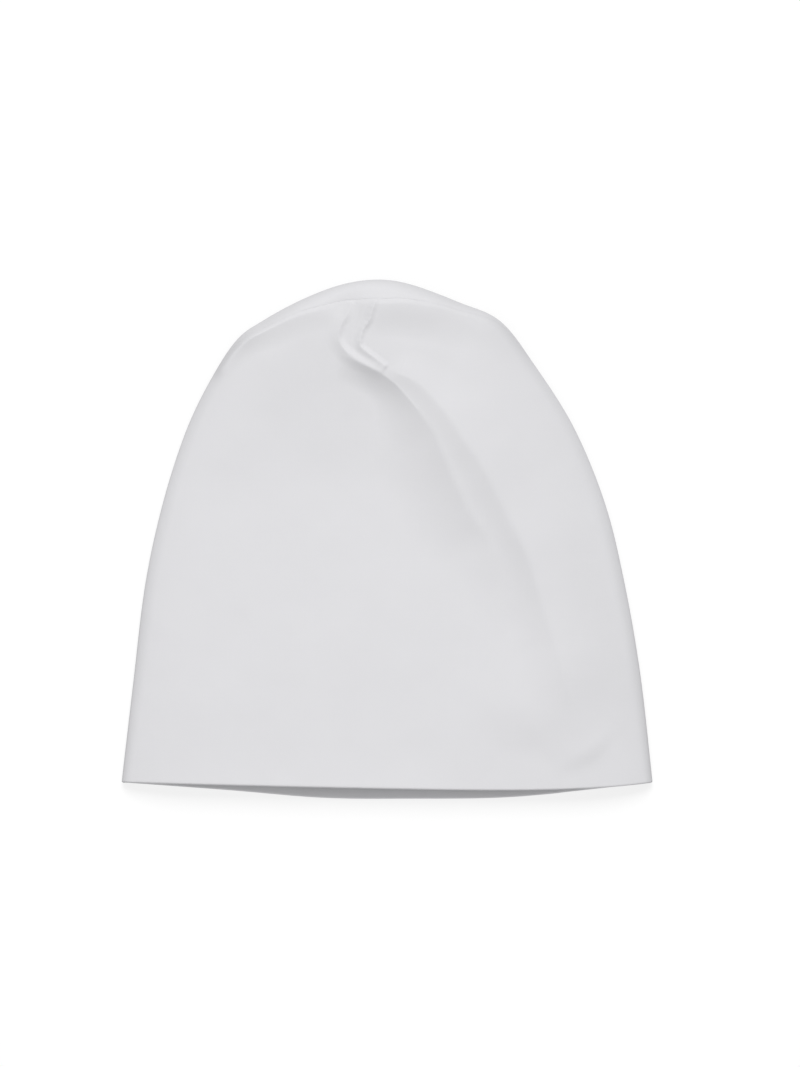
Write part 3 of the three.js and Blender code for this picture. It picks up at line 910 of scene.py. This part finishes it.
# %% The jersey
JERSEY_WHITE = (0.700, 0.698, 0.716)
PAINTED_GAP_SHADE_AND_THIN_SPOTS = 0.955  # painted shade in the gaps between the stitches, and the tone of thin spots, as a share of the jersey's white
PAINTED_TOP_HIGHLIGHT_AND_THICK_SPOTS = 1.035  # a painted highlight on top of the stitches, and the tone of thick spots
PAINTED_STITCH_SHADE_SHARE = 0.6  # the share of the colour change that follows the stitches as painted shade and highlight, the rest being cloudy
FIBRE_SCALE = 900.0
CLOUD_SCALE = 38.0
STITCH_HEIGHT = 0.8  # shares of the bump's depth
FIBRE_HEIGHT = 0.35
BUMP_DEPTH = 0.12 * MM
ROUGHNESS = 0.91  # where the fibres lie flat
FIBRE_ROUGHNESS = 0.08  # what they add where they stand up
MIX_FACTOR, MIX_LOW, MIX_HIGH, MIX_COLOUR = 0, 6, 7, 2  # the sockets of a Mix node that mixes colours


def shaded(colour, share):
    """A colour, darker or lighter by a share, with full alpha."""
    return (*(channel * share for channel in colour), 1.0)


def jersey_material(name, colour):
    """Fine jersey: the stitches and a noise of fibres make its bump, and the fibres its roughness. Its
    faint change of colour is painted shade in the gaps of the stitches and a painted highlight on their
    tops, with a broad noise for thicker and thinner spots."""
    material = bpy.data.materials.new(name)
    material.use_nodes = True
    tree = material.node_tree
    tree.nodes.clear()
    uv = make_node(tree, "ShaderNodeUVMap", {"uv_map": "cloth"}, {})
    across = make_node(tree, "ShaderNodeSeparateXYZ", {}, [uv])
    knit = stitches(across, across.output(1))
    fuzz = make_node(tree, "ShaderNodeTexNoise", {}, {"Vector": uv, "Scale": FIBRE_SCALE, "Detail": 4.0})
    cloudy = make_node(tree, "ShaderNodeTexNoise", {}, {"Vector": uv, "Scale": CLOUD_SCALE, "Detail": 2.0})
    # painted shade in the gaps between the stitches and a painted highlight on their tops, mixed with the
    # knit's random thicker and thinner spots
    painted_shade_and_tone = make_node(
        tree,
        "ShaderNodeMix",
        {"data_type": "RGBA"},
        {
            MIX_FACTOR: knit * PAINTED_STITCH_SHADE_SHARE + cloudy * (1 - PAINTED_STITCH_SHADE_SHARE),
            MIX_LOW: shaded(colour, PAINTED_GAP_SHADE_AND_THIN_SPOTS),
            MIX_HIGH: shaded(colour, PAINTED_TOP_HIGHLIGHT_AND_THICK_SPOTS),
        },
        output=MIX_COLOUR,
    )
    bump = make_node(
        tree,
        "ShaderNodeBump",
        {},
        {
            "Strength": 0.35,
            "Distance": BUMP_DEPTH,
            "Height": knit * STITCH_HEIGHT + fuzz * FIBRE_HEIGHT,
        },
    )
    shader = make_node(
        tree,
        "ShaderNodeBsdfPrincipled",
        {},
        {
            "Base Color": painted_shade_and_tone,
            "Roughness": fuzz * FIBRE_ROUGHNESS + ROUGHNESS,
            "Specular IOR Level": 0.2,
            "Sheen Weight": 0.1,
            "Sheen Roughness": 0.5,
            "Normal": bump,
        },
    )
    make_node(tree, "ShaderNodeOutputMaterial", {}, {"Surface": shader})
    print(name, "has", len(tree.nodes), "nodes")
    return material


jersey = jersey_material("white_jersey", JERSEY_WHITE)

# %% [markdown]
# ## Putting the cloth in the frame
#
# Each cloth rides on the part's only body and stands for its panel of the frame, which is hidden, and
# it takes the jersey as its material. Each panel is a sheet: 236 mm from seam to seam round both rolls,
# and 222 mm from the hem to the crown's seam, with its corners rounded off.

# %% Dressing the frame
for piece, node in ((front_cloth, "front_panel"), (back_cloth, "back_panel")):
    piece.data.materials.append(jersey)
    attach(piece, "root")
    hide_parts(node)
print("dressed:", front_cloth.name, "and", back_cloth.name)

# %% [markdown]
# ## The table it lies on
#
# The beanie is shown on plain white paper, lit so evenly that it has hardly any shadow. In a studio the
# paper would have lamps of its own. Here it glows a little by itself, which does the same, and it doesn't
# light the cloth from below, where that glow would wash out the rounding of the edges.

# %% The paper
FLOOR_DROP = 0.0002  # metres below the cloth, so that the two never share a place
FLOOR_HALF = 3.0
PAPER_GREY = (0.27, 0.27, 0.27, 1)
WHITE = (1, 1, 1, 1)

square = np.array([(-1, -1, 0), (1, -1, 0), (1, 1, 0), (-1, 1, 0)])
floor_mesh = bpy.data.meshes.new("floor")
floor_mesh.from_pydata(square * FLOOR_HALF - [0, 0, FLOOR_DROP], [], [(0, 1, 2, 3)])
floor = bpy.data.objects.new("floor", floor_mesh)
bpy.context.collection.objects.link(floor)
floor.visible_diffuse = False  # its bounce would wash out the rims
paper = bpy.data.materials.new("paper")
paper.use_nodes = True
paper_shader = paper.node_tree.nodes["Principled BSDF"]
for socket, value in {
    "Base Color": PAPER_GREY,
    "Roughness": 1.0,
    "Specular IOR Level": 0.0,
    "Emission Color": WHITE,
    "Emission Strength": 0.74,
}.items():
    paper_shader.inputs[socket].default_value = value
floor.data.materials.append(paper)
print("paper:", 2 * FLOOR_HALF, "m wide")

# %% [markdown]
# ## The light
#
# The cloth is white on white, so only the light shows its shape. A large window beyond the crown gives
# the slopes that face the hem their shade, a weaker lamp from the hem fills it, and an even grey sky
# does the rest. All are large and far away, which keeps every shadow soft.

# %% The sky and the lamps
world = bpy.data.worlds.new("studio")
world.use_nodes = True
background = world.node_tree.nodes["Background"]
background.inputs["Color"].default_value = WHITE
background.inputs["Strength"].default_value = 0.36
bpy.context.scene.world = world

LAMP_DISTANCE = 5.0
LAMP_SIZE = 3.0


def area_light(name, azimuth, elevation, power):
    """A soft square lamp that looks at the middle of the beanie. Azimuth runs from +X towards +Y."""
    lamp = bpy.data.lights.new(name, "AREA")
    lamp.size, lamp.energy = LAMP_SIZE, power
    light = bpy.data.objects.new(name, lamp)
    turn, rise = math.radians(azimuth), math.radians(elevation)
    light.location = (
        LAMP_DISTANCE * math.cos(turn) * math.cos(rise),
        LAMP_DISTANCE * math.sin(turn) * math.cos(rise),
        LAMP_DISTANCE * math.sin(rise),
    )
    light.rotation_euler = (math.pi / 2 - rise, 0, turn + math.pi / 2)
    bpy.context.collection.objects.link(light)
    print(name, "lamp:", power, "W")


area_light("window", azimuth=91, elevation=46, power=198)
area_light("fill", azimuth=268, elevation=28, power=56)

# %% [markdown]
# ## A little more light on the body
#
# Lamps that are far away light the crown and the body alike. On a real table the nearest lamp makes one
# part a little brighter than the rest. A small soft box does that here: it hangs close above the lower
# half, so that its light falls off towards the crown and the sides. It shines down only, and the camera
# looks through its back.

# %% A small soft box
SOFTBOX_SIZE = 0.3
SOFTBOX_POWER = 0.122
SOFTBOX_PLACE = (-0.015, -0.06, 0.3)

box_lamp = bpy.data.lights.new("softbox", "AREA")
box_lamp.size, box_lamp.energy = SOFTBOX_SIZE, SOFTBOX_POWER
softbox = bpy.data.objects.new("softbox", box_lamp)
softbox.location = SOFTBOX_PLACE
softbox.visible_camera = False
bpy.context.collection.objects.link(softbox)
print("soft box:", SOFTBOX_POWER, "W")

# %% [markdown]
# ## The camera
#
# It looks down on the table from well above, tilted by a hair towards the crown. With the back's longer
# hem, that lets a strip of the inside show below the front's. From far away a thing keeps its
# proportions, and the lens is worked out from the distance and from how much of the table it takes in.

# %% The camera
SENSOR = 36
CAMERA_DISTANCE = 1.6
CAMERA_TILT = math.radians(2.0)
AIM = (0.0056, 0.0027, 0.008)
VIEW_WIDTH = 0.3464  # metres, where the camera aims

lens = bpy.data.cameras.new("camera")
lens.sensor_fit = "HORIZONTAL"
lens.sensor_width = SENSOR
lens.lens = SENSOR * CAMERA_DISTANCE / VIEW_WIDTH
camera = bpy.data.objects.new("camera", lens)
camera.location = (
    AIM[0],
    AIM[1] - CAMERA_DISTANCE * math.sin(CAMERA_TILT),
    AIM[2] + CAMERA_DISTANCE * math.cos(CAMERA_TILT),
)
camera.rotation_euler = (CAMERA_TILT, 0, 0)
bpy.context.collection.objects.link(camera)
bpy.context.scene.camera = camera
bpy.context.scene.view_settings.view_transform = "Standard"
print("lens:", round(lens.lens, 1), "mm")
